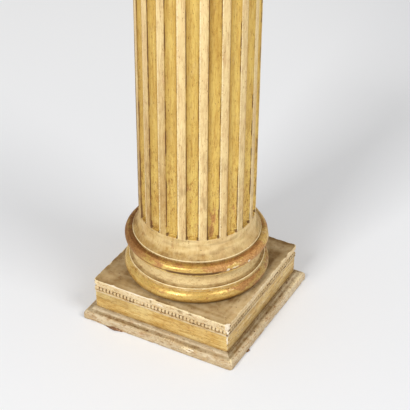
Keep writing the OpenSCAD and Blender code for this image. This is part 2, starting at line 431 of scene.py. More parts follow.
# pale along the nosing's top arris: rubbed paint with a painted highlight
foot_arris = band(z, nosing_top - 1.6, nosing_top - 0.2, 0.8)
far_right = foot_right * ramp(40, 120, foot_along)
foot_flakes = ramp(0.5, 0.9, noise(foot_grid, (13, 13, 6), 7)) * (1 - low_edge)
foot_wear = ramp(0.2, 0.8, noise(foot_grid, (26, 26, 7), 8)) * (1 - on_hollow)
edge_rub = 0.8 * spot(foot_grid, (48, foot_front, 2), (3.5, 3, 3))
edge_rub += 0.7 * spot(foot_grid, (-122, foot_front, 3), (10, 3, 2))
foot_marks = {
    "gesso": 0.9 * scuff + 0.34 * foot_flakes,
    "pale": 0.8 * scuff + 0.22 * foot_arris + 0.24 * foot_wear + 0.3 * far_right,
    "rub": edge_rub,
    "varnish": 0.2 * (1 - on_hollow) * (1 - streaky),
    "grime": foot_grime_and_shade,
    "dark": foot_dark,
    "streak": 0.7 - 0.2 * on_hollow,
    "speckle": 0.55 - 0.15 * on_hollow,
}


def torn_sliver(start, end, reach, thick, face_at, seed):
    """A sliver of wood torn off along a face: rings of eight points along its length."""
    rings = []
    steps = 22
    for step in range(steps):
        t = step / (steps - 1)
        swell = math.sin(math.pi * min(1.0, t / 0.86) ** 1.3) if t < 0.86 else 0.0
        body = max(0.06, swell * 0.75 + 0.5 * ramp(0.1, 0.75, t) * (1 - ramp(0.93, 1.0, t)))
        ring = []
        for turn in np.radians(np.arange(0, 360, 45)):
            stands_out = -math.cos(turn) * reach * body
            height = thick * (0.5 + 0.5 * math.sin(turn)) * body
            ring.append((start + (end - start) * t, stands_out, height))
        rings.append(ring)
    rings = np.array(rings)
    torn = noise(rings, (5.0, 1.6, 1.2), seed)
    rings[..., 1] += 0.45 * torn
    rings[..., 2] = np.clip(rings[..., 2] + 0.5 * torn, 0.05, None)
    rings[..., 1] -= face_at
    return rings


slivers = [
    torn_sliver(-112.0, -71.0, 4.6, 3.6, foot_half, 21),
    torn_sliver(-98.0, -69.5, 4.2, 4.4, foot_half - 0.8, 22),
    torn_sliver(-104.0, -80.0, 3.2, 4.6, foot_half - 0.3, 23),
]
side_sliver = torn_sliver(-100.0, -88.0, 3.1, 2.9, foot_half, 24)
slivers.append(np.stack([-side_sliver[..., 1], side_sliver[..., 0], side_sliver[..., 2]], axis=-1))
sliver_wear = ((0.62, 0.8), (0.5, 0.9), (0.6, 0.7), (0.6, 0.8))
sliver_marks = [{"dark": dark, "rub": rub} for dark, rub in sliver_wear]
foot = make_skin("foot_slab_skin", [foot_grid] + slivers, [foot_marks] + sliver_marks)
foot.data.materials.append(
    finished(
        "cream foot paint with painted light and shade",
        (9.0, 9.0, 1.0),
        0.4,
        cream=tone(231, 214, 182),
        cream_shade=tone(216, 195, 158),
        gold=tone(214, 176, 104),
        gold_shade=tone(196, 152, 84),
    )
)
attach(foot, "root")
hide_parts("foot_slab")

# ---------------------------------------------------------------------------
# Plinth block: a square block with a plain band round its top, a row of carved
# beads under a sloping neck, and a thin fillet over flat panels. The band and the
# top are cream, the panels gilt; its arrises are rubbed to the white ground.

block_low, block_high = (np.array(corner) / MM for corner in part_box("plinth_block"))
block_half = block_high[0]
block_foot, block_top = block_low[2], block_high[2]
band_high = 9.5
slope_high = 5.8
bead_round = 4.0
fillet_high = 4.0
panel_back = 1.5
groove_back = 2.6
band_foot = block_top - band_high
bead_top = band_foot - slope_high
bead_middle = bead_top - bead_round
fillet_top = bead_middle - bead_round
fillet_foot = fillet_top - fillet_high
panel_out = block_half - panel_back
groove_out = block_half - groove_back
bead_pitch = 7.5
beads_a_side = 37
steps_a_bead = 9

block_profile = [(panel_out - 14, block_foot), (panel_out, block_foot)]
block_profile += [(panel_out, h) for h in np.linspace(block_foot + 0.6, fillet_foot - 0.4, 17)]
block_profile += [(block_half - 1.3, fillet_foot), (block_half - 0.6, fillet_foot + 0.3)]
block_profile += [(block_half - 0.38, h) for h in np.linspace(fillet_foot + 0.9, fillet_top - 0.9, 3)]
block_profile += [(block_half - 0.6, fillet_top - 0.3), (groove_out + 0.3, fillet_top - 0.02)]
block_profile += arc((block_half - bead_round, bead_middle), bead_round, -68, 68, 11)
block_profile += [(groove_out + 0.2, bead_top + 0.02), (block_half - 1.8, bead_top + 0.5)]
block_profile += [(block_half - 1.5, bead_top + 2.4), (block_half - 1.0, bead_top + 4.2)]
block_profile += [(block_half - 0.4, band_foot - 0.4)]
block_profile += [(block_half, h) for h in np.linspace(band_foot + 0.3, block_top - 1.6, 7)]
block_profile += arc((block_half - 1.3, block_top - 1.3), 1.3, 15, 90, 5)
top_rings = (140.4, 138.6, 136, 133, 130, 127, 124, 120, 116, 112, 108, 104, 100, 95, 88)
block_profile += [(out, block_top) for out in top_rings]

heights = np.array([p[1] for p in block_profile])
outs = np.array([p[0] for p in block_profile])
upper = ramp(fillet_foot, band_foot, heights)
inner = 1.0 - ramp(88.0, 138.0, outs)
front_corner = (2.0 + 2.6 * upper) * (1 - inner) + 0.6
left_corner = (4.2 + 1.4 * upper) * (1 - inner) + 0.6
rear_corner = (2.2 + 1.2 * upper) * (1 - inner) + 0.6
block_rounds = np.stack([front_corner, rear_corner, rear_corner, left_corner], axis=1)
block_steps = beads_a_side * steps_a_bead + 12
block_grid, block_out, block_along, block_side = square_loops(block_profile, block_rounds, block_steps)
x, y, z = np.moveaxis(block_grid, -1, 0)
side = np.broadcast_to(block_side, z.shape)
front_side, right_side = side == 0, side == 1
out_now = np.abs(block_grid[..., :2]).max(axis=-1)

# beads: each is a small dome, the slots between them are cut down to the groove,
# and old paint clogs the slots in places
bead_share = band(z, fillet_top, bead_top, 0.05) * (out_now > groove_out - 0.5)
in_bead = block_along / bead_pitch - np.floor(block_along / bead_pitch + 0.5)
row_half = beads_a_side * bead_pitch / 2
row_end = ramp(row_half, row_half + 1.5, np.abs(block_along))
dome = np.sqrt(np.clip(1.0 - (np.abs(in_bead) / 0.4) ** 2.4, 0.0, 1.0))
clog_front = 0.5 * band(block_along, -52, -14, 10) + 0.4 * band(block_along, 66, 140, 24)
clog_front += 0.4 * ramp(120, 138, -block_along)
clog_right = 0.36 * (1.0 - ramp(10, 90, block_along)) + 0.12
clog = np.where(front_side, clog_front, np.where(right_side, clog_right, 0.3))
clog = np.clip(clog * (0.65 + 0.7 * noise(block_grid, (9, 9, 9), 31)), 0, 0.92)
cut = (1.0 - dome) * (1.0 - clog) * bead_share * (1 - row_end)
slot_depth = np.clip(out_now - (groove_out - 0.5), 0, None)
waver = 0.3 * noise(block_grid, (60, 60, 40), 32) + 0.14 * noise(block_grid, (12, 12, 8), 33)
on_side = ramp(panel_out - 13.0, panel_out - 2.0, out_now)
block_grid -= block_out * (cut * slot_depth - waver * on_side * (1 - 0.5 * bead_share))[..., None]

# arrises and the band's edges: rubbed, with flakes gone down to the gesso
arris = ramp(block_half - 9.0, block_half - 2.0, np.minimum(np.abs(x), np.abs(y))) * on_side
top_edge = band(z, block_top - 2.2, block_top, 0.5) * ramp(block_half - 3.5, block_half - 1.0, out_now)
flake = ramp(0.15, 0.6, noise(block_grid, (6, 6, 5), 34))
front_share = spot(block_grid, (block_half, -block_half, 80), (22, 22, 34))
chipped = 1.1 * top_edge * ramp(0.25, 0.7, noise(block_grid, (10, 10, 8), 35))
chipped += 1.3 * arris * flake * (0.4 + 1.5 * front_share)
block_grid -= block_out * chipped[..., None]
bitten = 0.7 * top_edge * ramp(0.2, 0.7, noise(block_grid, (14, 14, 8), 36))
block_grid[..., 2] -= bitten * (z > block_top - 1.5)
dished = np.where(z > block_top - 0.01, 0.18 * noise(block_grid, (30, 30, 8), 37) - 0.2, 0.0)
block_grid[..., 2] += dished * ramp(96, 104, out_now)
block_grid[..., 2] = np.minimum(block_grid[..., 2], block_top)

on_top = ramp(block_top - 0.6, block_top - 0.1, z)
on_band = band(z, band_foot, block_top - 0.5, 0.4) * (1 - on_top)
on_neck = band(z, bead_top, band_foot - 0.5, 0.3)
on_beads = band(z, fillet_top, bead_top, 0.2)
on_fillet = band(z, fillet_foot, fillet_top, 0.3)
on_panel = band(z, block_foot, fillet_foot - 0.5, 0.4)
blotch = cloudy(block_grid, (17, 17, 12), 38)
wide = cloudy(block_grid, (60, 60, 40), 39)
torus_shade = 1.0 - ramp(136, 158, np.hypot(x, y))
strokes_run = noise(block_grid, (70, 5, 30), 43)
strokes_cross = noise(block_grid, (5, 70, 30), 44)
strokes = np.where(np.abs(x) > np.abs(y), strokes_cross, strokes_run)
rear = ramp(-60, 110, y) * 0.42 * (1 - 0.8 * ramp(120, 134, x)) + ramp(60, 130, -x) * 0.3
far_right = ramp(80, 120, y) * ramp(60, 110, x)
near_edge = ramp(124, 137, x) * (1 - ramp(40, 90, y))
# the top: grime, darker towards the back and left and varied along brush strokes, with painted shade round
# the foot of the moulding (torus_shade)
top_grime_and_shade = on_top * (0.36 + 0.1 * blotch + 0.12 * wide + 0.2 * torus_shade + rear + 0.16 * strokes)
top_grime_and_shade += on_top * (0.3 * far_right - 0.26 * near_edge)
gilt_panel = np.where(right_side, 0.56, 0.98) * on_panel
gilt_rest = 0.42 * on_neck + 0.38 * on_beads + 0.26 * on_fillet
panel_foot = 1.0 - ramp(block_foot, block_foot + np.where(right_side, 22.0, 6.0), z)
grime_side = np.where(right_side, 0.1, 0.0)
# painted shade under the fillet at the head of the front panel, deepest towards the left
panel_head_shade = band(z, fillet_foot - 14, fillet_foot, 4) * front_side * ramp(0, 110, -block_along)
block_grime_and_shade = top_grime_and_shade + on_panel * (0.36 * panel_foot + grime_side + 0.34 * panel_head_shade)
block_grime_and_shade += on_band * 0.05 * front_side
near_right = right_side * (1 - ramp(-90, -20, block_along))
block_grime_and_shade += (on_fillet + on_beads) * 0.24 * near_right
block_grime_and_shade += on_beads * np.where(right_side, 0.24, 0.08) + on_fillet * 0.22
stain = spot(block_grid, (-18, -block_half, 82), (3.5, 6, 9))
stain += spot(block_grid, (43, -block_half, 83), (9, 6, 7))
stain += spot(block_grid, (65, -block_half, 84), (7, 6, 6))
block_grime_and_shade += on_band * 0.75 * stain
# painted shade in the slots between the beads and in the creases above and below the row
slot_shade = ramp(0.3, 0.4, np.abs(in_bead)) * (1.0 - clog) * bead_share * (1 - row_end)
crease_shade = band(z, bead_top - 0.6, bead_top + 0.4, 0.4) + band(z, fillet_top - 0.2, fillet_top + 0.5, 0.4)
block_grime_and_shade += 0.45 * slot_shade
block_dark = 0.68 * slot_shade + 0.5 * on_panel * (1 - ramp(block_foot, block_foot + 1.6, z))
dark_spots = ramp(0.5, 0.9, noise(block_grid, (9, 9, 5), 40))
block_dark += 0.42 * dark_spots * (arris + np.where(right_side, 1.5, 0.5) * on_beads)
block_dark += crease_shade * np.where(right_side, 0.95, 0.55) * ramp(0.0, 0.6, noise(block_grid, (12, 12, 6), 42))
nicks = (
    ((block_half, -135, 82), (6, 5, 3.6)),
    ((block_half, -136, 72), (6, 4, 3)),
    ((block_half - 2, -block_half + 1, 63), (5, 5, 3)),
    ((130, -block_half, 81), (3, 6, 3)),
    ((block_half, -136, 50), (5, 4, 3)),
    ((block_half - 1, -140, 40), (4, 4, 3)),
)
block_dark += 1.1 * sum(spot(block_grid, centre, reach) for centre, reach in nicks)
block_dark += 0.5 * ramp(0.45, 0.85, noise(block_grid, (4, 4, 3), 45)) * (0.3 + arris) * (1 - on_top)
high_up = ramp(56, 68, z)
front_arris = ramp(block_half - 6.5 - 4 * high_up, block_half - 2.0, np.minimum(x, -y)) * on_side
front_white = front_arris * (0.72 + 0.6 * noise(block_grid, (5, 5, 11), 46)) * (0.52 + 0.66 * high_up)
gesso_band = on_band * front_side * ramp(0.0, 0.6, noise(block_grid, (24, 24, 8), 41)) * 0.56
block_gesso = gesso_band + front_white + 0.2 * arris * flake + 0.42 * top_edge * blotch
# pale along the top rim, the band's foot, the fillet's foot and the arrises: rubbed paint with painted
# highlights
rim = band(z, block_top - 2.4, block_top - 0.4, 0.8) * ramp(block_half - 3, block_half - 1, out_now)
rim += band(z, band_foot, band_foot + 0.8, 0.6) + 0.7 * band(z, fillet_foot + 0.4, fillet_foot + 1.6, 0.6)
panel_wear = ramp(0.1, 0.7, noise(block_grid, (60, 60, 5), 48))
block_varnish = 0.5 * on_panel * ramp(-0.1, 0.55, noise(block_grid, (55, 55, 6), 47))
block_varnish += (0.06 + 0.5 * right_side * ramp(30, 110, block_along)) * on_neck
block_varnish += 0.16 * (on_beads + on_fillet)
block_varnish += 0.14 * near_right * (on_band + 2 * on_panel * ramp(45, 60, z))
block_varnish += (0.52 + 0.3 * strokes) * on_top
block_marks = {
    "gilt": gilt_panel + gilt_rest,
    "rub": 0.3 * on_panel * blotch + 0.24 * on_panel * panel_wear + 0.3 * on_fillet * blotch,
    "gesso": block_gesso,
    "pale": 0.4 * rim + 0.4 * arris + 0.2 * on_band * front_side,
    "varnish": block_varnish,
    "grime": block_grime_and_shade,
    "dark": block_dark,
    "streak": 0.8 * on_panel + 0.12 * on_top + 0.4 * on_band + 0.3 * (on_neck + on_fillet + on_beads),
    "speckle": 0.16 + 0.14 * on_panel + 0.4 * on_band + 0.4 * (on_neck + on_beads + on_fillet),
}
block = make_skin("plinth_block_skin", [block_grid], [block_marks])
block.data.materials.append(
    finished(
        "plinth paint and gilding with painted light and shade",
        (10.0, 10.0, 1.0),
        0.35,
        cream=tone(242, 220, 178),
        cream_shade=tone(230, 204, 156),
        gold=tone(243, 214, 144),
        gold_shade=tone(232, 195, 120),
    )
)
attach(block, "root")
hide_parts("plinth_block")

# ---------------------------------------------------------------------------
# Base moulding: one turned piece, a lower torus, a scotia between two fillets and
# an upper torus. The two tori are gilt over red bole, burnished and rubbed; the
# scotia is cream. It is glued down on the block.

mould_low, mould_high = (np.array(corner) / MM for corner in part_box("base_moulding"))
mould_foot, mould_top = mould_low[2], mould_high[2]
low_torus_round = 13.5
up_torus_round = 8.5
torus_step = 1.2
low_fillet_back = 8.3
up_fillet_back = 8.1
low_fillet_high = 6.4
up_fillet_high = 6.0
scotia_lip = 1.4
scotia_depth = 8.4
low_torus_out = mould_high[0]
up_torus_out = low_torus_out - torus_step
low_fillet_out = low_torus_out - low_fillet_back
up_fillet_out = up_torus_out - up_fillet_back
low_fillet_foot = mould_foot + 2 * low_torus_round
scotia_foot = low_fillet_foot + low_fillet_high
up_torus_foot = mould_top - 2 * up_torus_round
up_fillet_foot = up_torus_foot - up_fillet_high
scotia_mouth = (low_fillet_out + up_fillet_out) / 2 - scotia_lip
scotia_half = (up_fillet_foot - scotia_foot) / 2
scotia_round = (scotia_half**2 + scotia_depth**2) / (2 * scotia_depth)
scotia_swing = math.degrees(math.asin(scotia_half / scotia_round))
mould_steps = 640


def turned(profile, turn):
    """Rings of points round the column's axis for a profile of (radius, height), with
    the points of each ring at the given turns in radians."""
    radii, highs = np.array(profile).T
    around = np.outer(radii, np.cos(turn)), np.outer(radii, np.sin(turn))
    return np.stack([*around, np.outer(highs, np.ones(len(turn)))], axis=-1)


def shown_bearing(turn):
    """Bearing in degrees from the side that is shown, growing to the right."""
    return (turn - show_bearing + 180) % 360 - 180


low_centre = (low_torus_out - low_torus_round, mould_foot + low_torus_round)
up_centre = (up_torus_out - up_torus_round, mould_top - up_torus_round)
low_meet = math.degrees(math.acos((low_fillet_out - low_centre[0]) / low_torus_round))
mould_profile = [(low_centre[0] - 6, mould_foot)] + arc(low_centre, low_torus_round, -89, low_meet, 38)
mould_profile += [(low_fillet_out, h) for h in np.linspace(low_fillet_foot - 0.4, scotia_foot - 1.1, 6)]
mould_profile += arc((low_fillet_out - 0.7, scotia_foot - 0.7), 0.7, 20, 90, 4)
mould_profile += [(scotia_mouth + 0.1, scotia_foot)]
scotia_centre = (scotia_mouth - scotia_depth + scotia_round, scotia_foot + scotia_half)
mould_profile += arc(scotia_centre, scotia_round, 180 + scotia_swing, 180 - scotia_swing, 26)
mould_profile += [(up_fillet_out - 0.3, up_fillet_foot), (up_fillet_out, up_fillet_foot + 0.5)]
mould_profile += [(up_fillet_out, h) for h in np.linspace(up_fillet_foot + 1.4, up_torus_foot - 0.5, 5)]
mould_profile += arc(up_centre, up_torus_round, -86, 90, 32)
mould_profile += [(r, mould_top) for r in (125.5, 124, 122.5, 121, 119, 112)]
mould_turn = np.arange(mould_steps) / mould_steps * 2 * math.pi
mould_grid = turned(mould_profile, mould_turn)
bearing = np.broadcast_to(shown_bearing(np.degrees(mould_turn)), mould_grid.shape[:2])
radius = np.hypot(mould_grid[..., 0], mould_grid[..., 1])
z = mould_grid[..., 2].copy()
out_way = mould_grid / radius[..., None] * np.array([1.0, 1.0, 0.0])


def place_on(bearing_off, radius_at, height):
    """Point at a bearing measured from the side that is shown, to the right."""
    turn = math.radians(show_bearing + bearing_off)
    return (radius_at * math.cos(turn), radius_at * math.sin(turn), height)


on_up_torus = band(z, up_torus_foot + 0.3, mould_top + 1, 0.6)
on_low_torus = 1.0 - ramp(low_fillet_foot - 1.0, low_fillet_foot, z)
on_scotia = band(z, scotia_foot, up_fillet_foot, 0.5)
on_low_fillet = band(z, low_fillet_foot, scotia_foot, 0.4)
on_up_fillet = band(z, up_fillet_foot, up_torus_foot, 0.4)
ring_shadow_out = 120.6
shelf = ramp(mould_top - 0.4, mould_top, z) * (1 - ramp(up_centre[0] - 1, up_centre[0] + 2.5, radius))
worn_rear = on_up_torus * band(bearing, 92, 114, 14) * 2.2 * ramp(up_centre[0] - 2, up_centre[0] + 6, radius)
waver = 0.22 * noise(mould_grid, (50, 50, 20), 51) + 0.12 * noise(mould_grid, (10, 10, 6), 52)
chip_a = spot(mould_grid, place_on(25, up_torus_out - 1, up_torus_foot + 6.0), (5.0, 5.0, 5.4))
chip_b = spot(mould_grid, place_on(45, up_torus_out - 1, up_torus_foot + 7.0), (4.2, 4.2, 3.8))
chip_c = spot(mould_grid, place_on(31.0, up_torus_out, up_torus_foot + 6.0), (6, 6, 2.6))
pits = ramp(0.55, 0.85, noise(mould_grid, (5, 5, 3.5), 53)) * 0.5
crack = band(z, up_torus_foot - 3.0, up_torus_foot + 6.4, 1.4) * band(bearing, -22, 15, 7)
crack *= 0.7 + 0.6 * ramp(-0.3, 0.3, noise(mould_grid, (9, 9, 30), 57))
sink = worn_rear + pits + 0.9 * chip_a + 0.7 * chip_b + 0.6 * chip_c + 0.5 * crack
scotia_back = scotia_mouth - scotia_depth
on_skin = ramp(scotia_back - 3, scotia_back - 1, radius) * (z > mould_foot + 0.3)
mould_grid += out_way * ((waver - sink) * on_skin * (1 - shelf))[..., None]

blotch = cloudy(mould_grid, (14, 14, 8), 54)
long_blotch = cloudy(mould_grid, (34, 34, 5), 55)
# painted shade where the lower torus meets the block
contact_shade = 1.0 - ramp(mould_foot, mould_foot + 4.0, z)
to_right = ramp(5, 55, bearing) * (1 - ramp(120, 170, bearing))
to_left = ramp(22, 66, -bearing) * (1 - ramp(150, 178, -bearing))
far_round = ramp(48, 74, bearing) * (1 - ramp(120, 170, bearing))
mould_gilt = on_low_torus * (1 - 0.5 * far_round) + 0.95 * on_up_torus * (1 - 0.4 * far_round)
mould_gilt += 0.55 * on_up_fillet + 0.5 * on_low_fillet
right_bole = band(bearing, 10, 55, 10) * band(z, up_torus_foot + 4, up_torus_foot + 15, 3)
mid_gold = band(bearing, -22, 6, 14) * band(z, up_torus_foot + 5, mould_top - 3, 2)
up_worn = 0.46 + 0.6 * (long_blotch - 0.5) + 0.16 * right_bole + 0.24 * to_left - 0.3 * mid_gold
up_rub = on_up_torus * up_worn
low_rub = on_low_torus * (0.22 + 0.56 * (long_blotch - 0.5) + 0.36 * to_right * (1 - 0.35 * far_round))
low_rub += 0.5 * spot(mould_grid, place_on(8, low_torus_out, mould_foot + 17), (8, 8, 4))
low_rub += 0.55 * spot(mould_grid, place_on(38, low_torus_out, mould_foot + 17), (9, 9, 5))
# painted shade on the undersides of both tori, in the creases round the fillets and at the scotia's top and
# foot, added into the grime, the dark and the varnish
up_low = 1 - ramp(up_torus_foot + 4.5, up_torus_foot + 8.5, z)
low_low = 1 - ramp(mould_foot + 4, mould_foot + 17, z)
up_torus_under_shade = on_up_torus * 0.64 * up_low * (1 - 0.8 * to_right) * (1 - 0.7 * to_left)
mould_grime_and_shade = 0.06 * blotch + 0.5 * shelf + up_torus_under_shade
up_crown = (0.36 * to_left + 0.06) * ramp(up_torus_foot + 4, mould_top - 2, z)
mould_grime_and_shade += on_up_torus * (up_crown + 0.26 * to_left)
mould_grime_and_shade += 0.5 * band(z, scotia_foot, scotia_foot + 2.4, 2.0) * (radius < low_fillet_out - 1.4)
scotia_floor = (1 - to_left) * (1 - ramp(scotia_foot, scotia_foot + 9, z))
scotia_soil_and_shade = 0.05 + 0.12 * to_right + 0.08 * to_left + 0.1 * blotch + 0.16 * scotia_floor
mould_grime_and_shade += on_scotia * (scotia_soil_and_shade + 0.3 * ramp(up_fillet_foot - 3, up_fillet_foot, z))
mould_grime_and_shade += 0.16 * on_up_fillet * (1 - to_right) * (1 - to_left)
low_torus_under_shade = low_low * (1 - 0.8 * to_left) * (1 - 0.2 * to_right)
mould_grime_and_shade += on_low_torus * (0.02 + 0.44 * to_right + 0.92 * low_torus_under_shade)
mould_grime_and_shade += 0.3 * band(z, low_fillet_foot - 0.6, low_fillet_foot + 0.6, 0.8)
mould_grime_and_shade += 0.2 * on_low_fillet * to_right
# dark: the crack, pits where leaf is lost, painted shade at the block and in the crease under the upper
# torus, and the ring's painted shadow on the shelf
mould_dark = 1.1 * crack + 0.9 * contact_shade
mould_dark += 0.36 * on_scotia * ramp(0.6, 0.9, noise(mould_grid, (5, 5, 4), 56))
mould_dark += 0.4 * band(z, up_torus_foot - 0.8, up_torus_foot + 1.2, 0.8) * (0.5 + blotch)
mould_dark += 0.34 * shelf * (1 - ramp(ring_shadow_out, ring_shadow_out + 2, radius))
leaf_lost = ramp(0.45, 0.9, noise(mould_grid, (7, 7, 3), 58))
mould_dark += 0.5 * (on_up_torus + on_low_torus) * leaf_lost * (0.8 + 0.4 * to_right)
# painted highlights of the two lamps on the lower torus and the right of the upper one, with worn gesso
# there, and pale rims on the fillets' edges: rubbed paint with painted highlights
fillet_rim = band(z, scotia_foot - 1.4, scotia_foot, 0.5)
fillet_rim *= ramp(scotia_mouth + 0.3, low_fillet_out - 0.6, radius)
low_torus_highlight = spot(mould_grid, place_on(29, low_torus_out - 3, mould_foot + 23), (14, 14, 2.4))
left_torus_highlight = spot(mould_grid, place_on(-17, low_torus_out - 2, mould_foot + 21), (12, 12, 3))
worn_highlight_patch = spot(mould_grid, place_on(31, up_torus_out, up_torus_foot + 8), (12, 12, 3))
worn_pink = right_bole * (0.2 + 0.3 * (blotch - 0.3))
bole_scrape = spot(mould_grid, place_on(16, up_torus_out - 2, up_torus_foot + 3.5), (9, 9, 4))
small_chip = spot(mould_grid, place_on(12, up_torus_out - 1, up_torus_foot + 4.5), (5, 5, 3))
mould_pale_and_highlight = 0.85 * fillet_rim + 0.6 * (low_torus_highlight + left_torus_highlight) + 0.6 * worn_highlight_patch + worn_pink
mould_pale_and_highlight += 0.35 * band(z, up_fillet_foot, up_fillet_foot + 1.5, 0.5)
left_crown = to_left * band(z, up_torus_foot + 5, mould_top - 3, 2)
# the varnish also darkens the lower parts of both tori as painted shade
mould_varnish_and_shade = 0.1 * on_scotia + 0.36 * on_low_fillet + 0.36 * low_low * on_low_torus
mould_varnish_and_shade += on_up_torus * (0.24 * up_low + 0.26 * left_crown)
mould_marks = {
    "gilt": mould_gilt,
    "rub": up_rub + low_rub + 0.3 * on_up_fillet * blotch + 1.2 * bole_scrape,
    "gesso": 2.2 * (chip_a + chip_b) + 0.7 * chip_c + 0.4 * small_chip,
    "pale": mould_pale_and_highlight,
    "varnish": mould_varnish_and_shade,
    "grime": mould_grime_and_shade,
    "dark": mould_dark,
    "streak": 0.5 - 0.2 * on_scotia,
    "speckle": 0.5 - 0.1 * on_scotia,
}
moulding = make_skin("base_moulding_skin", [mould_grid], [mould_marks])
moulding.data.materials.append(
    finished(
        "moulding gilding with painted light and shade",
        (5.0, 5.0, 1.0),
        0.36,
        cream=tone(242, 216, 158),
        cream_shade=tone(232, 202, 142),
        gold=tone(238, 202, 120),
        gold_shade=tone(220, 180, 98),
    )
)
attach(moulding, "root")
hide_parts("base_moulding")

# ---------------------------------------------------------------------------
# Fluted shaft: turned with a ring and a hollow flare at its foot, then carved with
# eighteen round-bottomed flutes. The fillets between them are cream, the flutes
# gilt, with dark glaze and painted shade in their corners. It is sawn off flat above.

shaft_low, shaft_high = (np.array(corner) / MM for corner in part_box("fluted_shaft"))
shaft_foot, shaft_top = shaft_low[2], shaft_high[2]
ring_out = shaft_high[0]
ring_step = 11.7
ring_high = 5.2
flare_high = 24.0
plain_high = 14.8
shaft_out = ring_out - ring_step
ring_top = shaft_foot + ring_high
flare_top = ring_top + flare_high
flute_foot = flare_top + plain_high
flute_count = 18
flute_width = 23.6
flute_depth = 6.5
flute_turn = 14.2
stop_round = 8.5
flute_round = ((flute_width / 2) ** 2 + flute_depth**2) / (2 * flute_depth)
flute_axis = shaft_out - flute_depth + flute_round
flare_round = (flare_high**2 + ring_step**2) / (2 * ring_step)

# columns of points across one flute: close together at its two arrises
arris_cosine = (shaft_out**2 + flute_axis**2 - flute_round**2) / (2 * shaft_out * flute_axis)
half_flute = math.degrees(math.acos(arris_cosine))
half_pitch = 180.0 / flute_count
one_side = [half_flute * t for t in (0.15, 0.3, 0.45, 0.6, 0.74, 0.85, 0.93)]
one_side += [half_flute - 0.12, half_flute + 0.15, half_flute + 0.45, half_pitch * 0.74, half_pitch * 0.87]
across = np.array([-half_pitch] + [-t for t in reversed(one_side)] + [0.0] + one_side)
offset = np.tile(across, flute_count)
column_turn = flute_turn + np.repeat(np.arange(flute_count), len(across)) * 360.0 / flute_count + offset

shaft_profile = [(ring_out - 8, shaft_foot), (ring_out - 0.2, shaft_foot), (ring_out, shaft_foot + 0.6)]
shaft_profile += [(ring_out, h) for h in np.linspace(shaft_foot + 1.6, ring_top - 1.0, 4)]
shaft_profile += arc((ring_out - 0.8, ring_top - 0.8), 0.8, 20, 75, 3)
flare_end = math.degrees(math.asin(flare_high / flare_round))
flare_points = arc((shaft_out + flare_round, flare_top), flare_round, 180 + flare_end, 180, 20)
shaft_profile += [(r - 0.25, h + 0.1) for r, h in flare_points[:1]] + flare_points[1:]
shaft_profile += [(shaft_out, h) for h in np.linspace(flare_top + 1.6, flute_foot - 1.0, 9)]
shaft_profile += [(shaft_out, h) for h in np.arange(flute_foot - 0.4, flute_foot + 12.0, 0.62)]
shaft_profile += [(shaft_out, h) for h in np.linspace(flute_foot + 13.0, shaft_top, 112)]
shaft_profile += [(shaft_out - 0.05, shaft_top)]

radii = np.array([out for out, height in shaft_profile])
turn = np.radians(column_turn)
shaft_grid = turned(shaft_profile, turn)
z = shaft_grid[..., 2].copy()
bearing = np.broadcast_to(shown_bearing(column_turn), z.shape)
out_way = np.stack([np.cos(turn), np.sin(turn), np.zeros(len(turn))], axis=-1)[None]


def fine_line(away, width):
    """1 where away is 0, falling off on both sides over the given width."""
    return np.exp(-((away / width) ** 2))


# carved by hand: the two arrises of a flute wander a little from the straight line
wander = 0.09 * noise(shaft_grid, (14, 14, 70), 61) + 0.04 * noise(shaft_grid, (8, 8, 18), 62)
angle = np.abs(offset + wander)
inside = np.clip(flute_round**2 - (flute_axis * np.sin(np.radians(angle))) ** 2, 0, None)
channel = np.clip(shaft_out - (flute_axis * np.cos(np.radians(angle)) - np.sqrt(inside)), 0, flute_depth)
channel *= angle < half_flute + 0.05
corner_lift = 2.6 * np.clip(angle / half_flute, 0, 1.0) ** 4
stop_at = flute_foot + corner_lift + 0.5 * noise(shaft_grid, (20, 20, 500), 63)
rise = np.clip(z - stop_at, 0, stop_round)
stop = np.sqrt(np.clip(stop_round**2 - (stop_round - rise) ** 2, 0, None)) * (z > stop_at)
cut = np.minimum(channel, stop)
cut *= 1.0 + 0.04 * noise(shaft_grid, (30, 30, 60), 64)
fillet_share = 1.0 - ramp(half_flute - 0.2, half_flute + 0.3, angle)
arris_rub = fine_line(angle - half_flute - 0.2, 0.22) * ramp(flute_foot, flute_foot + 3, z)
waver = 0.16 * noise(shaft_grid, (18, 18, 60), 65) + 0.1 * noise(shaft_grid, (7, 7, 12), 66)
pits = 0.5 * ramp(0.6, 0.9, noise(shaft_grid, (4, 4, 5), 67)) * (1 - fillet_share * 0.5)
on_skin = (z > shaft_foot + 0.2) * (z < shaft_top - 0.1)
hole_a = spot(shaft_grid, place_on(-12, 117.8, 181), (2.6, 2.6, 2.6))
hole_b = spot(shaft_grid, place_on(22, 117.8, 180), (2.4, 2.4, 2.2))
sink = cut + 0.25 * arris_rub + (pits - waver + 0.8 * (hole_a + hole_b)) * on_skin
shaft_grid -= out_way * sink[..., None]

in_flute = ramp(0.02, 0.35, cut)
on_fillet = (1 - in_flute) * ramp(flute_foot - 1, flute_foot + 1, z)
on_neck = 1.0 - ramp(flute_foot - 1, flute_foot + 1, z)
blotch = cloudy(shaft_grid, (12, 12, 16), 68)
tall = cloudy(shaft_grid, (12, 12, 90), 69)
signed = offset + wander
left_part = ramp(-0.1, 0.9, -signed / half_flute)
left_line = fine_line(signed + half_flute - 0.3, 0.4)
right_line = fine_line(signed - half_flute + 0.25, 0.36)
broken = ramp(-0.45, 0.15, noise(shaft_grid, (15, 15, 34), 70))
broken_too = ramp(-0.3, 0.25, noise(shaft_grid, (15, 15, 26), 72))
broken_fine = 0.84 + 0.4 * noise(shaft_grid, (6, 6, 7), 71)
lower = 1 - ramp(flute_foot + 60, flute_foot + 260, z)
low_more = 0.8 + 0.3 * (1.0 - ramp(flute_foot + 30, flute_foot + 230, z))
